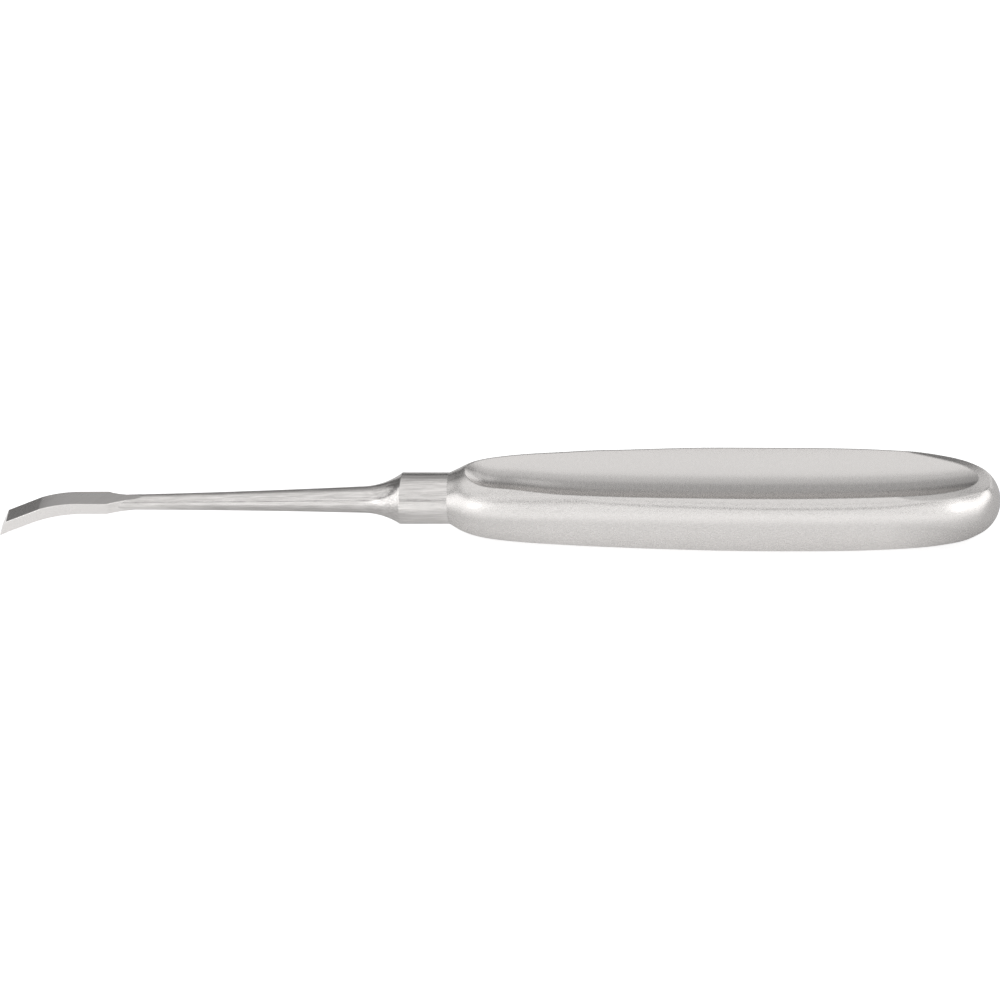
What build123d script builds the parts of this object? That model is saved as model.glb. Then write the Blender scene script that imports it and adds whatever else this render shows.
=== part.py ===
from build123d import *
from math import cos, radians, sin, tan
import os

# Periosteal elevator, forged and ground from one bar of stainless steel.
# X runs along the instrument, with the blade at -X and the butt of the handle
# at +X. Z is up, out of the open dish of the handle. The origin is on the axis
# of the collar, half way along it. All sizes are millimetres.

# Collar between the shank and the handle
collar_radius = 5.37
collar_length = 10.6

# Handle, from the collar's rear edge to the tip of the butt
handle_length = 115.15
handle_radius = 11.55
seam_step = 0.05
cap_step = 0.03

# Frames of the handle, from the collar towards the butt. Each gives how far back
# it stands as a share of the length, its radius as a share of the full one, the
# rise of its centre, the radius of its two lips as a share of its own, and the
# angle above the level at which the round belly passes into them.
handle_frames = [
    (0.000, (collar_radius + seam_step) / handle_radius, 0.00, 0.95, 68.0),
    (0.012, 0.534, -0.14, 0.94, 68.0),
    (0.030, 0.621, -0.12, 0.92, 68.0),
    (0.057, 0.700, -0.08, 0.89, 66.0),
    (0.109, 0.775, -0.01, 0.83, 62.0),
    (0.154, 0.816, 0.05, 0.74, 54.0),
    (0.200, 0.848, 0.13, 0.65, 44.0),
    (0.236, 0.873, 0.21, 0.55, 35.5),
    (0.273, 0.897, 0.31, 0.46, 28.0),
    (0.346, 0.938, 0.48, 0.40, 21.5),
    (0.455, 0.981, 0.62, 0.40, 17.5),
    (0.528, 0.996, 0.62, 0.40, 15.5),
    (0.620, 1.000, 0.61, 0.40, 14.5),
    (0.711, 0.990, 0.54, 0.40, 15.0),
    (0.775, 0.963, 0.39, 0.40, 17.0),
    (0.829, 0.922, 0.19, 0.40, 21.0),
    (0.875, 0.865, -0.06, 0.44, 27.5),
    (0.912, 0.793, -0.31, 0.50, 35.5),
    (0.941, 0.705, -0.52, 0.62, 49.0),
    (0.966, 0.584, -0.56, 0.80, 66.0),
]

# Land round the rear of the dish, slightly crowned, a form turned about a line
# below it: how far in front of the tip of the butt, and how high its middle lies
# above the axis. It starts above the lips and falls to the butt.
land_axis_depth = 30.0
land_line = [
    (27.0, 8.45), (21.5, 7.22), (17.0, 6.52), (12.8, 5.98), (8.7, 5.50),
    (4.7, 4.86), (2.4, 4.30), (0.0, 3.35), (-3.0, 2.00),
]

# Dish scooped out of the top of the handle, a form turned about a line above
# it: how far behind the collar, and how high its floor lies above the axis
dish_axis_height = 14.5
dish_floor = [
    (3.2, 7.30), (6.1, 5.30), (12.8, 4.08), (31.4, 2.82), (60.8, 2.22),
    (86.0, 2.40), (98.2, 3.00), (108.2, 4.20), (111.4, 4.80),
]

# Round shank. Its axis passes just below the middle of the collar and leans down
# towards the blade; the stations are distances from there along that axis.
shank_lean = 0.77
shank_drop = 0.2
shank_end = 66.5
shank_end_radius = 1.55
shank_middle = 38.9
shank_middle_radius = 2.01
shank_root = 12.9
shank_root_radius = 2.77
flare_radius = 15.0
flare_angle = 34.0

# Blade: a strip that bends down to its tip, ground to a chisel edge from above
heel_width = 4.78
blade_width = 4.5
blade_tip = -90.1
bevel_run = 1.6
blade_heel = -66.9
blade_top = 0.05
top_bend_start = -73.0
top_bend_radius = 26.0
top_bend_angle = 25.0
blade_bottom = -2.48
bottom_bend_start = -71.4
bottom_bend_radius = 30.0
bottom_bend_angle = 23.5
neck = -59.5
neck_width = 1.0
neck_rise = 0.57
neck_fall = 0.05

collar_rear = collar_length / 2
butt_tip = collar_rear + handle_length
clear = 3 * handle_radius


def smooth(arc):
    """The same round arc, of up to a quarter turn, drawn as one smooth curve."""
    turn = radians((arc % 0).get_angle(arc % 1))
    reach = arc.length / turn * 4 / 3 * tan(turn / 4)
    return Bezier(arc @ 0, arc @ 0 + arc % 0 * reach, arc @ 1 - arc % 1 * reach, arc @ 1)


def frame_outline(radius, rise, lip_share, seat):
    """One frame of the handle: a round belly, two rounded lips and a flat top."""
    lip = radius * lip_share
    out = (radius - lip) * cos(radians(seat))
    height = rise + (radius - lip) * sin(radians(seat))
    flank = (seat - 90) / 2
    smooth(CenterArc((0, rise), radius, -90, flank + 90, mode=Mode.PRIVATE))
    smooth(CenterArc((0, rise), radius, flank, seat - flank, mode=Mode.PRIVATE))
    smooth(CenterArc((out, height), lip, seat, 90 - seat, mode=Mode.PRIVATE))
    mirror(about=Plane.YZ)
    Line((out, height + lip), (-out, height + lip))


def face_line(level, rise, bend_start, bend_radius, bend_angle, end):
    """A long face of the blade from the side: out of the shank, level, bent down, straight."""
    run_out = Spline((neck, level + rise), (blade_heel, level), tangents=[(-1, -rise / 3), (-1, 0)])
    bend = JernArc((bend_start, level), (-1, 0), bend_radius, bend_angle)
    Line(run_out @ 1, bend @ 0)
    Line(bend @ 1, (end, tip_height(level, bend_start, bend_radius, bend_angle, end)))


def tip_height(level, bend_start, bend_radius, bend_angle, x):
    """Height of a long face of the blade at x, on the straight part near the tip."""
    angle = radians(bend_angle)
    bend_end = bend_start - bend_radius * sin(angle)
    return level - bend_radius * (1 - cos(angle)) - (bend_end - x) * tan(angle)


with BuildPart() as handle:
    for share, size, rise, lip_share, seat in handle_frames:
        with BuildSketch(Plane.YZ.offset(collar_rear + share * handle_length)):
            with BuildLine():
                frame_outline(size * handle_radius, rise, lip_share, seat)
            make_face()
    loft()

    # Round butt behind the last frame, part of a ball
    last_share, last_size, last_rise = handle_frames[-1][:3]
    cap_start = collar_rear + last_share * handle_length
    cap_radius = last_size * handle_radius - cap_step
    cap_depth = butt_tip - cap_start
    ball_radius = (cap_radius**2 + cap_depth**2) / (2 * cap_depth)
    with BuildSketch(Plane.XZ):
        with BuildLine():
            rim, tip = (cap_start, last_rise + cap_radius), (butt_tip, last_rise)
            cap = smooth(RadiusArc(rim, tip, ball_radius, mode=Mode.PRIVATE))
            Polyline(tip, (cap_start, last_rise), rim)
        make_face()
    revolve(axis=Axis((0, 0, last_rise), (1, 0, 0)))

    # Land: all that stands above its line goes
    with BuildSketch(Plane.XZ):
        with BuildLine():
            land = Spline(*[(butt_tip - back, height) for back, height in land_line])
            Polyline(land @ 1, ((land @ 1).X, clear), ((land @ 0).X, clear), land @ 0)
        make_face()
    revolve(axis=Axis((0, 0, -land_axis_depth), (1, 0, 0)), mode=Mode.SUBTRACT)

    # Dish, turned about its own line
    with BuildSketch(Plane.XZ):
        with BuildLine():
            floor = Spline(*[(collar_rear + back, height) for back, height in dish_floor])
            rear_end = ((floor @ 1).X, dish_axis_height)
            front_end = ((floor @ 0).X, dish_axis_height)
            Polyline(floor @ 1, rear_end, front_end, floor @ 0)
        make_face()
    revolve(axis=Axis((0, 0, dish_axis_height), (1, 0, 0)), mode=Mode.SUBTRACT)

with BuildPart() as periosteal_elevator:
    # Shank and flare, turned on their leaning axis
    along = (cos(radians(shank_lean)), 0, sin(radians(shank_lean)))
    with BuildSketch(Plane((0, 0, -shank_drop), x_dir=along, z_dir=(0, -1, 0))):
        with BuildLine():
            taper = ThreePointArc(
                (-shank_end, shank_end_radius),
                (-shank_middle, shank_middle_radius),
                (-shank_root, shank_root_radius),
            )
            flare = smooth(JernArc(taper @ 1, taper % 1, flare_radius, flare_angle, mode=Mode.PRIVATE))
            Polyline(flare @ 1, (clear, (flare @ 1).Y), (clear, 0), (-shank_end, 0), taper @ 0)
        make_face()
    revolve(axis=Axis((0, 0, -shank_drop), along))

    # Collar, turned true about the X axis out of the same stock
    turned_length = shank_end + clear
    with Locations((collar_rear - turned_length / 2, 0, 0)):
        Cylinder(collar_radius, turned_length, rotation=(0, 90, 0), mode=Mode.INTERSECT)

    # Strip for the blade, cut to its plan
    before_tip = blade_tip - bevel_run
    with BuildSketch(Plane.XY.offset(-clear)):
        with BuildLine():
            heel = (blade_heel, heel_width / 2)
            shoulder = Spline(heel, (neck, neck_width / 2), tangents=[(1, -0.45), (1, -0.2)])
            Polyline((before_tip, 0), (before_tip, blade_width / 2), heel)
            Line(shoulder @ 1, (neck, 0))
            mirror(about=Plane.XZ)
        make_face()
    extrude(amount=2 * clear)

    # Ground from above, down to the top face and the bevel
    top_bend = (top_bend_start, top_bend_radius, top_bend_angle)
    bottom_bend = (bottom_bend_start, bottom_bend_radius, bottom_bend_angle)
    bevel_start = blade_tip + bevel_run
    bevel_height = tip_height(blade_top, *top_bend, bevel_start)
    edge_height = tip_height(blade_bottom, *bottom_bend, blade_tip)
    with BuildSketch(Plane.XZ):
        with BuildLine():
            face_line(blade_top, neck_rise, *top_bend, bevel_start)
            Polyline(
                (bevel_start, bevel_height),
                (before_tip, 2 * edge_height - bevel_height),
                (before_tip, clear),
                (neck, clear),
                (neck, blade_top + neck_rise),
            )
        make_face()
    extrude(amount=clear, both=True, mode=Mode.SUBTRACT)

    # Ground from below, up to the bottom face
    with BuildSketch(Plane.XZ):
        with BuildLine():
            face_line(blade_bottom, -neck_fall, *bottom_bend, before_tip)
            Polyline(
                (before_tip, tip_height(blade_bottom, *bottom_bend, before_tip)),
                (before_tip, -clear),
                (neck, -clear),
                (neck, blade_bottom - neck_fall),
            )
        make_face()
    extrude(amount=clear, both=True, mode=Mode.SUBTRACT)

    add(handle.part)

periosteal_elevator.part.label = "periosteal_elevator"
os.makedirs("parts", exist_ok=True)
export_step(periosteal_elevator.part, "parts/periosteal_elevator.step")
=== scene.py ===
from math import atan2, cos, pi, radians, sin, sqrt, tan

import bpy
import numpy as np
from mathutils import Matrix, Vector


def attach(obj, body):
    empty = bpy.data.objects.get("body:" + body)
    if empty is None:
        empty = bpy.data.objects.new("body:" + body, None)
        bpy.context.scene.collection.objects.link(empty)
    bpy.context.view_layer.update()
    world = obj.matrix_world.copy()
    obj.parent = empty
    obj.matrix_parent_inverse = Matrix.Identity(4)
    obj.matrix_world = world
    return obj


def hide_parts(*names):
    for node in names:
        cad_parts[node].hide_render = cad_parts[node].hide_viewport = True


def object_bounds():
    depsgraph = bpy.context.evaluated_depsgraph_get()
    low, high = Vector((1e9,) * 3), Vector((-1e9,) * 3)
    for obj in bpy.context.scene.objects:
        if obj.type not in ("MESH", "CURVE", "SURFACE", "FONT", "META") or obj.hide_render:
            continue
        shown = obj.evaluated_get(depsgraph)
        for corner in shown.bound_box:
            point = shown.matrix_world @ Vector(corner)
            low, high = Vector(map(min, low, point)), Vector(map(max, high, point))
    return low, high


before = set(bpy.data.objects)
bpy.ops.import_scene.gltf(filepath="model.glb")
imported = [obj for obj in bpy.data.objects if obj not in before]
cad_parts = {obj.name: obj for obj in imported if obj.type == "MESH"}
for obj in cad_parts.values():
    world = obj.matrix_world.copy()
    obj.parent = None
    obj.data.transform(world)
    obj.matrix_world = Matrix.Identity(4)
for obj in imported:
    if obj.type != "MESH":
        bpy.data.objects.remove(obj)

cad_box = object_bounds()

# Handle
# The heavy grip, forged with the rest from one bar of stainless steel: a round
# belly that swells from the collar, two rounded lips and a ball-shaped butt.
# All sizes here and below are millimetres from the middle of the collar.
mm = 0.001
collar_rear = 5.3
handle_length = 115.15
handle_radius = 11.55
handle_frames = np.array([
    # share of the length, share of the radius, rise, lip share, seat of the lip
    (0.000, 0.4693, 0.00, 0.95, 68.0),
    (0.012, 0.534, -0.14, 0.94, 68.0),
    (0.030, 0.621, -0.12, 0.92, 68.0),
    (0.057, 0.700, -0.08, 0.89, 66.0),
    (0.109, 0.775, -0.01, 0.83, 62.0),
    (0.154, 0.816, 0.05, 0.74, 54.0),
    (0.200, 0.848, 0.13, 0.65, 44.0),
    (0.236, 0.873, 0.21, 0.55, 35.5),
    (0.273, 0.897, 0.31, 0.46, 28.0),
    (0.346, 0.938, 0.48, 0.40, 21.5),
    (0.455, 0.981, 0.62, 0.40, 17.5),
    (0.528, 0.996, 0.62, 0.40, 15.5),
    (0.620, 1.000, 0.61, 0.40, 14.5),
    (0.711, 0.990, 0.54, 0.40, 15.0),
    (0.775, 0.963, 0.39, 0.40, 17.0),
    (0.829, 0.922, 0.19, 0.40, 21.0),
    (0.875, 0.865, -0.06, 0.44, 27.5),
    (0.912, 0.793, -0.31, 0.50, 35.5),
    (0.941, 0.705, -0.52, 0.62, 49.0),
    (0.966, 0.584, -0.56, 0.80, 66.0),
])
butt_tip = collar_rear + handle_length
cap_start = collar_rear + handle_frames[-1, 0] * handle_length
cap_radius = handle_frames[-1, 1] * handle_radius
cap_depth = butt_tip - cap_start
ball_radius = (cap_radius**2 + cap_depth**2) / (2 * cap_depth)
last_ring_radius = 0.02


def flowing(across, values, x):
    """Height at x of the smooth curve that passes through all the values."""
    gap, slope = np.diff(across), np.diff(values) / np.diff(across)
    grid, right = np.eye(len(across)), np.zeros(len(across))
    for i in range(1, len(across) - 1):
        grid[i, i - 1:i + 2] = gap[i - 1], 2 * (gap[i - 1] + gap[i]), gap[i]
        right[i] = 6 * (slope[i] - slope[i - 1])
    bend = np.linalg.solve(grid, right)
    i = int(np.clip(np.searchsorted(across, x) - 1, 0, len(gap) - 1))
    t = x - across[i]
    level = slope[i] - gap[i] * (2 * bend[i] + bend[i + 1]) / 6
    return values[i] + t * level + t**2 * bend[i] / 2 + t**3 * (bend[i + 1] - bend[i]) / (6 * gap[i])


def handle_form(x):
    """Radius, rise, lip share and seat of the handle at x."""
    share = min((x - collar_rear) / handle_length, handle_frames[-1, 0])
    shares = handle_frames[:, 0]
    size, rise, lip_share, seat = (flowing(shares, column, share) for column in handle_frames.T[1:])
    radius = size * handle_radius
    if x > cap_start:
        from_middle = x - butt_tip + ball_radius
        radius = sqrt(max(ball_radius**2 - from_middle**2, last_ring_radius**2))
    return radius, rise, lip_share, seat


def grow(name, sides, rings):
    """A closed form grown ring by ring along X; a ring is x, height, half width and half height."""
    bpy.ops.object.select_all(action="DESELECT")
    across = (0, pi / 2, 0)
    if sides == 4:
        bpy.ops.mesh.primitive_plane_add(size=2, rotation=across)
    else:
        bpy.ops.mesh.primitive_circle_add(vertices=sides, radius=1, fill_type="NGON", rotation=across)
    form = bpy.context.object
    form.name = form.data.name = name
    bpy.ops.object.transform_apply(rotation=True)
    bpy.ops.object.mode_set(mode="EDIT")
    bpy.ops.mesh.select_all(action="SELECT")
    x, z, out, up = rings[0]
    bpy.ops.transform.resize(value=(1, out * mm, up * mm), center_override=(0, 0, 0))
    bpy.ops.transform.translate(value=(x * mm, 0, z * mm))
    for nx, nz, nout, nup in rings[1:]:
        step = ((nx - x) * mm, 0, (nz - z) * mm)
        bpy.ops.mesh.extrude_region_move(TRANSFORM_OT_translate={"value": step})
        bpy.ops.transform.resize(value=(1, nout / out, nup / up), center_override=(nx * mm, 0, nz * mm))
        x, z, out, up = nx, nz, nout, nup
    bpy.ops.mesh.select_all(action="SELECT")
    bpy.ops.mesh.normals_make_consistent(inside=False)
    bpy.ops.object.mode_set(mode="OBJECT")
    return form


def combine(piece, tool, way):
    """Joins, cuts or trims the piece with the tool, which is used up and leaves its finish."""
    step = piece.modifiers.new("step", "BOOLEAN")
    step.material_mode = "TRANSFER"
    step.object, step.operation, step.solver = tool, way, "EXACT"
    bpy.context.view_layer.objects.active = piece
    bpy.ops.object.modifier_apply(modifier=step.name)
    bpy.data.objects.remove(tool)


def linear(colour):
    """An sRGB hex colour as the linear values that a shader takes."""
    parts = [int(colour[i:i + 2], 16) / 255 for i in (1, 3, 5)]
    return [p / 12.92 if p <= 0.04045 else ((p + 0.055) / 1.055) ** 2.4 for p in parts] + [1]


def add(tree, kind, settings=(), links=()):
    """Adds a node, sets its properties and inputs, and links outputs to its inputs."""
    made = tree.nodes.new(kind)
    for name, value in dict(settings).items():
        if hasattr(made, str(name)):
            setattr(made, name, value)
        else:
            made.inputs[name].default_value = value
    for name, source in dict(links).items():
        tree.links.new(source, made.inputs[name])
    return made


def steel(name, colours, roughness, stretch, turn, grain, depth, soft_edge, painted_edge_shade):
    """Satin stainless steel with a grain between two tones. The grain's width and depth
    are in mm, stretch draws it out along X before it is turned, soft_edge is how wide
    in mm the shading is eased over an edge that was broken by hand, and painted_edge_shade
    is the share of the colour left in the painted dark line of shade along such an edge."""
    material = bpy.data.materials.new(name)
    material.use_nodes = True
    tree = material.node_tree
    shader = tree.nodes["Principled BSDF"]
    shader.inputs["Metallic"].default_value = 1.0
    place = add(tree, "ShaderNodeTexCoord")
    turned = {"vector_type": "TEXTURE", "Rotation": (0, 0, turn), "Scale": (stretch, 1, 1)}
    mapping = add(tree, "ShaderNodeMapping", turned, {"Vector": place.outputs["Object"]})
    fine = add(tree, "ShaderNodeTexNoise", {"Scale": 1 / (grain * mm), "Detail": 2.0, "Roughness": 0.6},
               {"Vector": mapping.outputs["Vector"]})

    # The noise hardly leaves the middle third, so the two tones are set at its ends
    tone = add(tree, "ShaderNodeValToRGB", {}, {"Fac": fine.outputs["Fac"]})
    for stop, share, colour in zip(tone.color_ramp.elements, (0.32, 0.68), colours):
        stop.position, stop.color = share, linear(colour)
    rough = add(tree, "ShaderNodeMapRange", {"To Min": roughness - 0.05, "To Max": roughness + 0.05},
                {"Value": fine.outputs["Fac"]})

    # Where the eased shading leans away from the face there is an edge, and the colour is darkened along
    # it as a painted line of shade
    eased = add(tree, "ShaderNodeBevel", {"samples": 6, "Radius": soft_edge * mm})
    bump = add(tree, "ShaderNodeBump", {"Distance": depth * mm},
               {"Height": fine.outputs["Fac"], "Normal": eased.outputs["Normal"]})
    flat = add(tree, "ShaderNodeNewGeometry")
    lean = add(tree, "ShaderNodeVectorMath", {"operation": "DOT_PRODUCT"},
               {0: eased.outputs["Normal"], 1: flat.outputs["Normal"]})
    line = add(tree, "ShaderNodeMapRange", {"From Min": 0.86, "From Max": 0.985, "To Min": painted_edge_shade},
               {"Value": lean.outputs["Value"]})
    lined = add(tree, "ShaderNodeVectorMath", {"operation": "SCALE"},
                {0: tone.outputs["Color"], "Scale": line.outputs["Result"]})
    tree.links.new(lined.outputs["Vector"], shader.inputs["Base Color"])
    tree.links.new(rough.outputs["Result"], shader.inputs["Roughness"])
    tree.links.new(bump.outputs["Normal"], shader.inputs["Normal"])
    return material


# Rings stand closer where the form turns quickly: at the collar and round the butt
along = [*np.linspace(collar_rear, collar_rear + 9, 24)]
along += [*np.linspace(collar_rear + 9.8, cap_start, 128)]
along += [butt_tip - ball_radius * (1 - cos(turn)) for turn in np.linspace(1.0, 0.0, 24)[1:]]
forms = [handle_form(x) for x in along]
handle = grow("handle", 160, [(x, form[1], form[0], form[0]) for x, form in zip(along, forms)])

# The two lips: whatever of the round stands above their seat is pushed in to them.
# The lip takes the first part of the way up, and the flat top takes the rest.
lip_part = 0.7
for point in handle.data.vertices:
    radius, rise, lip_share, seat = handle_form(point.co.x / mm)
    turn = atan2(point.co.z / mm - rise, abs(point.co.y / mm)) / (pi / 2)
    part = (turn - seat / 90) / (1 - seat / 90)
    if part > 0:
        lip = radius * lip_share
        bank = radians(seat + (90 - seat) * min(part / lip_part, 1))
        flat = min(1, (1 - part) / (1 - lip_part))
        out = (radius - lip) * cos(radians(seat)) * flat + lip * cos(bank)
        point.co.y = out * mm if point.co.y > 0 else -out * mm
        point.co.z = (rise + (radius - lip) * sin(radians(seat)) + lip * sin(bank)) * mm

# Blasted with fine glass beads, which leaves an even pale grain, drawn out a little
# by the belt before it. Real grain is about 0.05 mm; it is drawn at 0.28 mm to show.
# The last 0.8 keeps that share of the colour in a painted line of shade along its edges
handle.data.materials.append(steel(
    "bead-blasted satin stainless steel", ("#DEDBD9", "#E8E5E3"), 0.27, 3.0, 0.0, 0.28, 0.009, 0.5, 0.8))

# Dish and land
# The thumb rest, scooped out of the handle's top with a form cutter, and the
# slightly crowned land that is ground round its rear end and falls to the butt.
land_axis_depth = 30.0
land_line = np.array([
    (27.0, 8.45), (21.5, 7.22), (17.0, 6.52), (12.8, 5.98), (8.7, 5.50),
    (4.7, 4.86), (2.4, 4.30), (0.0, 3.35), (-3.0, 2.00),
])
dish_axis_height = 14.5
dish_floor = np.array([
    (3.2, 7.30), (6.1, 5.72), (12.8, 4.56), (21.0, 3.60), (31.4, 2.90), (60.8, 2.22),
    (86.0, 2.40), (98.2, 3.00), (108.2, 4.20), (111.4, 4.80),
])
rings = [(collar_rear - 1, -land_axis_depth, 2 * land_axis_depth, 2 * land_axis_depth)]
for back in np.linspace(-land_line[0, 0], -land_line[-1, 0], 61):
    out = land_axis_depth + flowing(-land_line[:, 0], land_line[:, 1], back)
    rings.append((butt_tip + back, -land_axis_depth, out, out))
combine(handle, grow("land", 480, rings), "INTERSECT")
rings = []
for back in [*np.linspace(dish_floor[0, 0], 14, 24), *np.linspace(15, dish_floor[-1, 0], 110)]:
    deep = dish_axis_height - flowing(dish_floor[:, 0], dish_floor[:, 1], back)
    rings.append((collar_rear + back, dish_axis_height, deep, deep))
dish = grow("dish", 240, rings)

# Milled and then polished across, so it is the smoothest face and shows the light
# and dark of the room in soft bands. Its faint lines are drawn at 0.40 mm to show.
# The last 0.2 paints a strong dark line of shade along the dish's rims
dish.data.materials.append(steel(
    "cross-polished stainless steel", ("#E0DDDB", "#E5E2E0"), 0.27, 3.0, pi / 2, 0.40, 0.002, 0.5, 0.2))
combine(handle, dish, "DIFFERENCE")

# Shank, flare and collar
# The round neck of the same bar, turned and then ground lengthways. Its axis
# leans down a little towards the blade; the collar is turned true.
collar_radius = 5.37
shank_lean = radians(0.77)
shank_drop = 0.2
shank_end, shank_middle, shank_root = 66.5, 38.9, 12.9
shank_radii = (1.55, 2.01, 2.77)
flare_radius = 15.0
flare_angle = radians(34.0)
reach_in = 0.5


def shank_radius(x):
    """Radius of the round shank, on an arc through its three stations."""
    stations = (-shank_end, -shank_middle, -shank_root)
    return float(np.polyval(np.polyfit(stations, shank_radii, 2), x))


root_slope = atan2(shank_radius(-shank_root) - shank_radius(-shank_root - 0.1), 0.1)


def axis_height(x):
    """Height of the shank's leaning axis at x."""
    return x * tan(shank_lean) - shank_drop


# Rings stand closer where the blade runs out of the shank
rings = []
for x in [*np.linspace(-shank_end, -58, 24), *np.linspace(-57, -shank_root, 40)]:
    rings.append((x, axis_height(x), shank_radius(x), shank_radius(x)))
for turn in np.linspace(root_slope, root_slope + flare_angle, 24)[1:]:
    x = -shank_root + flare_radius * (sin(turn) - sin(root_slope))
    r = shank_radius(-shank_root) + flare_radius * (cos(root_slope) - cos(turn))
    rings.append((x, axis_height(x), r, r))
rings.append((collar_rear + reach_in + 0.1, axis_height(collar_rear), r, r))
shank = grow("shank", 128, rings)

# Ground along its length with a belt: short pale and dark lines that run with the
# bar. Real lines are about 0.03 mm wide; they are drawn at 0.40 mm to show.
# The last 0.8 keeps that share of the colour in a painted line of shade along its edges
shank.data.materials.append(steel(
    "long-ground satin stainless steel", ("#D4D1CF", "#EFECEA"), 0.22, 14.0, 0.0, 0.40, 0.014, 0.2, 0.8))

# The flare is turned down to the collar's radius, and the form ends inside the handle
rings = [(x, 0, collar_radius, collar_radius) for x in np.linspace(-75, collar_rear + reach_in, 3)]
combine(shank, grow("collar", 192, rings), "INTERSECT")

# Blade
# The working end: the bar's own tip forged flat, bent down, and ground to a
# chisel edge from above. Its long edges are only just broken.
heel_width, blade_width = 4.78, 4.5
blade_tip, bevel_run, blade_heel, neck = -90.1, 1.6, -66.9, -59.5
blade_top, top_bend = 0.05, (-73.0, 26.0, radians(25.0))
blade_bottom, bottom_bend = -2.48, (-71.4, 30.0, radians(23.5))
neck_width, neck_rise, neck_fall = 1.0, 0.57, 0.05
tip_flat, crease_run = -81.2, 0.1
bevel_start = blade_tip + bevel_run
edge_thickness, edge_break = 0.03, 0.2


def face_height(level, rise, bend, x):
    """Height of a long face of the blade at x: run out of the shank, level, bent down, straight."""
    start, radius, angle = bend
    if x > blade_heel:
        run = neck - blade_heel
        s = (neck - x) / run
        return level + rise * (1 - 3 * s**2 + 2 * s**3) - rise / 3 * run * (s - 2 * s**2 + s**3)
    if x > start:
        return level
    end = start - radius * sin(angle)
    if x > end:
        return level - radius + sqrt(radius**2 - (start - x) ** 2)
    return level - radius * (1 - cos(angle)) - (end - x) * tan(angle)


def half_width(x):
    """Half the blade's width at x: a slight taper, then the shoulders."""
    if x < blade_heel:
        return (blade_width + (heel_width - blade_width) * (x - blade_tip) / (blade_heel - blade_tip)) / 2
    s = (x - blade_heel) / (neck - blade_heel)
    run = neck - blade_heel
    plain = heel_width / 2 * (1 - 3 * s**2 + 2 * s**3) + neck_width / 2 * (3 * s**2 - 2 * s**3)
    return plain - 0.45 * run * (s - 2 * s**2 + s**3) - 0.2 * run * (s**3 - s**2)


def top_height(x):
    """Height of the top face at x; the flat of the last grind runs from its crease to the bevel."""
    level = face_height(blade_top, neck_rise, top_bend, x)
    if x < tip_flat:
        crease = face_height(blade_top, neck_rise, top_bend, tip_flat)
        foot = face_height(blade_top, neck_rise, top_bend, bevel_start)
        level = crease + (foot - crease) * (tip_flat - x) / (tip_flat - bevel_start)
    return level


# The end of the shank runs out inside the blade
inside = 0.01
for point in shank.data.vertices:
    x = point.co.x / mm
    if x < neck:
        low = face_height(blade_bottom, -neck_fall, bottom_bend, x) + inside
        point.co.z = min(max(point.co.z, low * mm), (top_height(x) - inside) * mm)

rings = []
stations = sorted([*np.linspace(bevel_start, neck, 60), tip_flat - crease_run, tip_flat + crease_run])
for x in [blade_tip, *stations]:
    low = face_height(blade_bottom, -neck_fall, bottom_bend, x)
    top = top_height(x) if x > blade_tip else low + edge_thickness
    rings.append((x, (top + low) / 2, half_width(x), (top - low) / 2))
blade = grow("blade", 4, rings)

# Its four long edges are broken, from the chisel's bevel back to the neck
bpy.ops.object.mode_set(mode="EDIT")
bpy.ops.mesh.select_all(action="DESELECT")
bpy.ops.mesh.select_mode(type="EDGE")
bpy.ops.object.mode_set(mode="OBJECT")
for edge in blade.data.edges:
    a, b = (blade.data.vertices[i].co for i in edge.vertices)
    edge.select = abs(a.x - b.x) > 0.1 * mm and min(a.x, b.x) > bevel_start * mm - 1e-6
bpy.ops.object.mode_set(mode="EDIT")
bpy.ops.mesh.bevel(offset=edge_break * mm, segments=3, affect="EDGES", clamp_overlap=True)
bpy.ops.mesh.select_mode(type="VERT")
bpy.ops.object.mode_set(mode="OBJECT")

# Ground at a slant across the blade with a fine wheel, so it is smoother and
# darker where it leans away. The lines are drawn at 0.30 mm to show.
blade.data.materials.append(steel(
    "slant-ground stainless steel", ("#EDEAE8", "#F5F2F0"), 0.21, 30.0, 0.9, 0.30, 0.008, 0.15, 1.0))

# One bar
# Handle, shank and blade are one piece of hardening stainless steel, so the forms
# are joined into one mesh, and each of them keeps its finish.
combine(shank, blade, "UNION")
combine(handle, shank, "UNION")
elevator = handle
elevator.name = elevator.data.name = "periosteal_elevator_bar"
bpy.ops.object.select_all(action="DESELECT")
elevator.select_set(True)
bpy.context.view_layer.objects.active = elevator
bpy.ops.object.shade_smooth_by_angle(angle=radians(22))
shading = elevator.modifiers.new("even shading", "WEIGHTED_NORMAL")
shading.keep_sharp = True
bpy.ops.object.modifier_apply(modifier=shading.name)
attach(elevator, "root")
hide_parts("periosteal_elevator")

# Floor
# A plain white studio table. It takes the soft shadow and shows as white directly;
# in the metal it shows a painted pattern of light and shade instead.
bpy.ops.mesh.primitive_grid_add(x_subdivisions=8, y_subdivisions=8, size=24, location=(0, 0, cad_box[0].z))
floor = bpy.context.object
floor.name = "studio_table"

# Matt white laminate, lit to plain white where it is seen. A painted reflection glow, seen only by the
# metal, is white in front and under the handle, and painted shade makes it greyer behind and close to the
# ends and the shank.
white = bpy.data.materials.new("matt white laminate")
white.use_nodes = True
tree = white.node_tree
tree.nodes.clear()
plain = add(tree, "ShaderNodeBsdfDiffuse", {"Color": linear("#DCDCDC")})
path = add(tree, "ShaderNodeLightPath")
place = add(tree, "ShaderNodeTexCoord")
apart = add(tree, "ShaderNodeSeparateXYZ", {}, {"Vector": place.outputs["Object"]})
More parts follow.
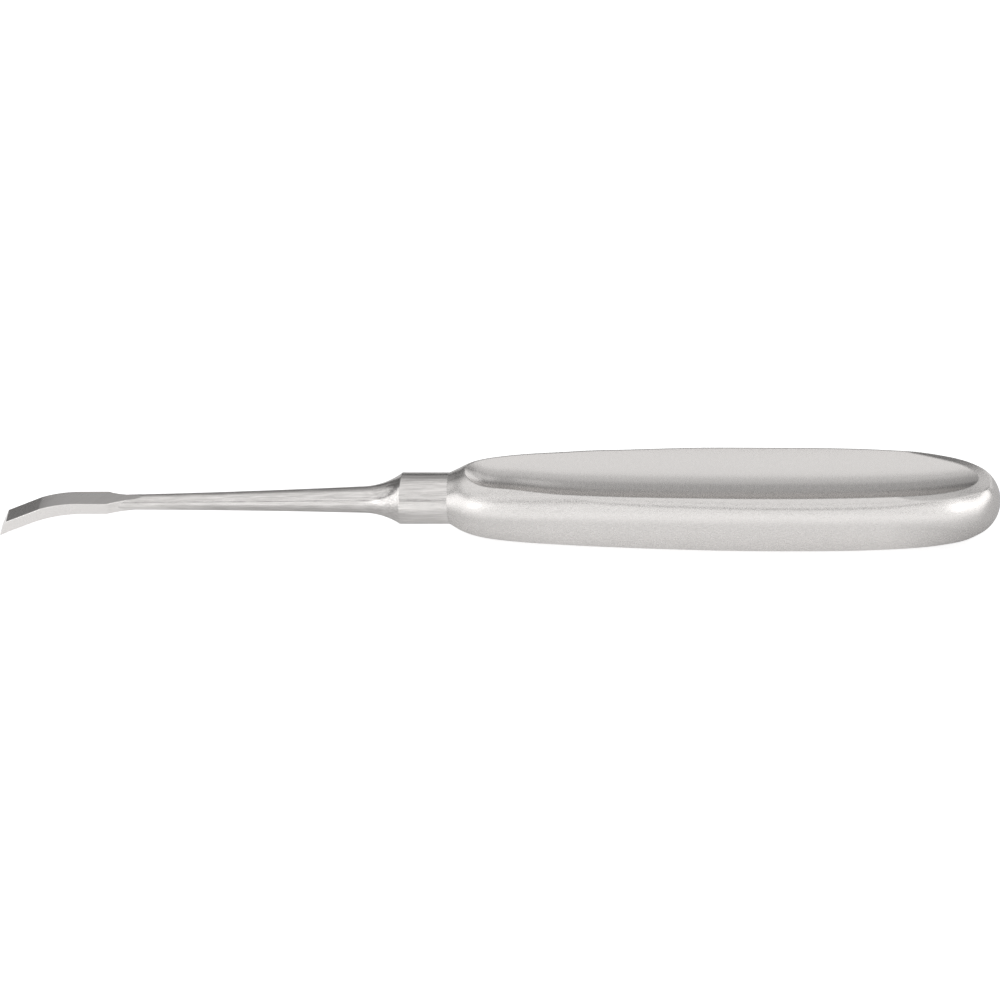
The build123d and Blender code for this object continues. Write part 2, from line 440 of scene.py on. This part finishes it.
# Painted reflection: to the metal the table grows brighter the farther it lies in front, from 10 to 55 mm
far = add(tree, "ShaderNodeMapRange", {"From Min": -10 * mm, "From Max": -55 * mm, "To Max": 0.50},
          {"Value": apart.outputs["Y"]})
tip_end, butt_end = -100, 140
along_bar = add(tree, "ShaderNodeMapRange", {"From Min": tip_end * mm, "From Max": butt_end * mm},
                {"Value": apart.outputs["X"]})

# How bright the painted reflection is at each distance from the collar, in mm; the low shares near the
# ends and the shank are painted shade
painted_shine_along_bar = add(tree, "ShaderNodeValToRGB", {}, {"Fac": along_bar.outputs["Result"]})
painted_shine_along_bar.color_ramp.elements[0].color = (0.28, 0.28, 0.28, 1)
painted_shine_along_bar.color_ramp.elements[1].color = (0, 0, 0, 1)
for x, share in ((-62, 0.25), (-45, 0.0), (-16, 0.0), (4, 0.17), (26, 0.27), (98, 0.27), (116, 0.0)):
    place_on_ramp = (x - tip_end) / (butt_end - tip_end)
    painted_shine_along_bar.color_ramp.elements.new(place_on_ramp).color = (share, share, share, 1)
painted_sheen = add(tree, "ShaderNodeMath", {"operation": "MAXIMUM"},
            {0: far.outputs["Result"], 1: painted_shine_along_bar.outputs["Color"]})
bounced = add(tree, "ShaderNodeMath", {"operation": "MULTIPLY"},
              {0: path.outputs["Is Glossy Ray"], 1: painted_sheen.outputs[0]})
seen = add(tree, "ShaderNodeMath", {"operation": "MULTIPLY_ADD", 1: 0.7},
           {0: path.outputs["Is Camera Ray"], 2: bounced.outputs[0]})
glow = add(tree, "ShaderNodeEmission", {"Color": (1, 1, 1, 1)}, {"Strength": seen.outputs[0]})
both = add(tree, "ShaderNodeAddShader", {}, {0: plain.outputs[0], 1: glow.outputs[0]})
add(tree, "ShaderNodeOutputMaterial", {}, {"Surface": both.outputs[0]})
floor.data.materials.append(white)

# Light
# A shooting tent: pale cloths overhead and in front with a narrow gap between them,
# two brighter side lamps, a grey cloth behind and a pale wall and cloth at the far
# right. The unlit far side gives the satin steel its dark lines.


def lamp(name, place, aim, size, glow):
    """A soft panel lamp, size in metres, as bright as a white sheet that glows that much."""
    light = bpy.data.lights.new(name, "AREA")
    light.shape, light.size, light.size_y = "RECTANGLE", *size
    light.energy = glow * pi * size[0] * size[1]
    panel = bpy.data.objects.new(name, light)
    bpy.context.scene.collection.objects.link(panel)
    panel.location = place
    panel.rotation_mode = "QUATERNION"
    panel.rotation_quaternion = (Vector(aim) - Vector(place)).to_track_quat("-Z", "Y")
    panel.visible_camera = False
    return panel


lamp("cloth overhead", (0, -0.225, 1.0), (0, -0.225, 0), (3.0, 1.25), 0.74)
lamp("cloth overhead, rear", (0, 0.60, 0.97), (0, 0.60, 0), (3.0, 0.40), 0.48)
lamp("cloth in front, high", (0, -1.21, 0.937), (0, 0, 0), (2.6, 0.553), 0.79)
lamp("cloth in front, low", (0, -1.5, 0.313), (0, 0, 0.313), (2.4, 0.586), 0.83)
lamp("left lamp", (-1.2, -0.45, 0.31), (0, 0, 0.31), (2.2, 0.62), 1.2)
lamp("right lamp", (1.2, -0.45, 0.31), (0, 0, 0.31), (2.2, 0.62), 1.35)
lamp("pale wall, far right", (0.839, 1.244, 0.36), (0, 0, 0.36), (1.46, 0.73), 0.85)
lamp("pale cloth, far right", (0.340, 1.165, 0.882), (0, 0, 0), (0.70, 0.475), 0.55)
lamp("grey cloth behind", (-0.55, 1.2, 0.89), (-0.55, 0, 0), (1.3, 0.70), 0.23)

world = bpy.data.worlds.new("studio room")
bpy.context.scene.world = world
world.use_nodes = True
world.node_tree.nodes["Background"].inputs["Color"].default_value = (0.14, 0.14, 0.14, 1)

# Camera
# A long lens, which looks down at the table by about 35 degrees from the front and
# stands about 11 degrees off square to the instrument, nearer to its butt. The swing
# is measured about the picture's own upright.
swing, rise = radians(8.9), radians(35.0)
right = Vector((cos(swing), sin(swing) * cos(rise), -sin(swing) * sin(rise)))
up = Vector((0, sin(rise), cos(rise)))
back = right.cross(up)
distance = 6.0
picture_width = 0.2076
off_right, off_up = 0.01551, -0.00041
centre = right * off_right + up * off_up
eye = bpy.data.cameras.new("camera")
eye.sensor_width = 36
eye.lens = 36 * distance / picture_width
camera = bpy.data.objects.new("camera", eye)
bpy.context.scene.collection.objects.link(camera)
turned = Matrix((right, up, back)).transposed().to_4x4()
camera.matrix_world = Matrix.Translation(centre + back * distance) @ turned
bpy.context.scene.camera = camera
bpy.context.scene.view_settings.view_transform = "Standard"
